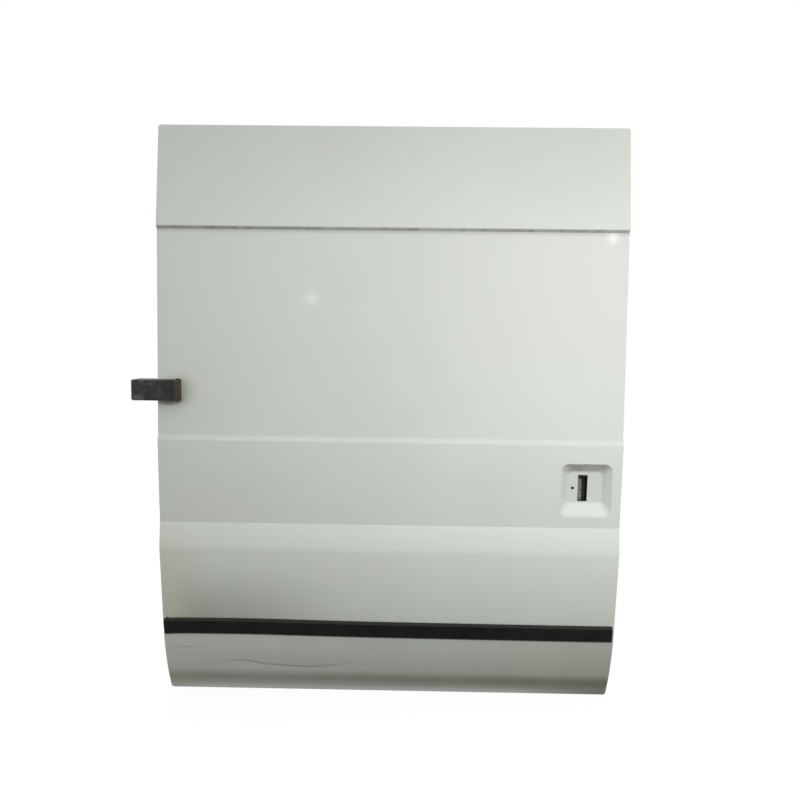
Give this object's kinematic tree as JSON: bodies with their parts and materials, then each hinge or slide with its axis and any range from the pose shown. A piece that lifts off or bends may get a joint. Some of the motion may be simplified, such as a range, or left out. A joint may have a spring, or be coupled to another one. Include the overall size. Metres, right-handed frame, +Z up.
{
  "type": "van sliding side door",
  "caption": "White pressed-steel sliding side door of a panel van, with handle cup, rub strip, edge latches and roller arms; the middle arm swivels.",
  "frame": {"origin": "centre of the flat underside of the lower roller arm, which carries the door", "axes": "+Z up, +X towards the front of the vehicle, +Y into the vehicle; the outside faces -Y"},
  "size_m": [1.357, 0.3448, 1.635],
  "materials": {
    "white_paint": "aged gloss",
    "black_plastic": "satin, weathered",
    "black_steel": "worn black paint with rust",
    "zinc_steel": "dull zinc plate",
    "nylon": "satin",
    "rubber": "matt",
    "bitumen": "matt"
  },
  "bodies": {
    "door": {"outer_skin": "white_paint", "inner_panel": "white_paint", "upper_stiffener_bar": "white_paint", "lower_stiffener_bar": "white_paint", "handle_backing_plate": "white_paint", "rub_strip": "black_plastic", "inside_handle_bezel": "black_plastic", "inside_handle_lever": "black_plastic", "rod_guides": "black_plastic", "middle_hinge_base": "black_steel", "upper_arm": "black_steel", "lower_arm": "black_steel", "middle_hinge_pin": "zinc_steel", "release_lever": "zinc_steel", "latch_rod": "zinc_steel", "front_latch_case": "zinc_steel", "front_latch_plate": "zinc_steel", "front_latch_claw": "zinc_steel", "rear_latch_case": "zinc_steel", "rear_latch_plate": "zinc_steel", "rear_latch_claw": "zinc_steel", "front_dowels": "zinc_steel", "lower_load_roller": "nylon", "lower_guide_rollers": "nylon", "upper_roller": "nylon", "rear_buffers": "rubber", "hole_plugs": "rubber", "sound_pads": "bitumen"},
    "roller_arm": {"middle_arm": "black_steel", "middle_load_roller": "nylon", "middle_guide_rollers": "nylon"}
  },
  "joints": [
    {"name": "middle_arm_swivel", "type": "hinge", "parent": "door", "child": "roller_arm", "pos_m": [-1.084, -0.21823, 0.8425], "axis": [0, 0, 1], "range_deg": [0, 35]}
  ]
}
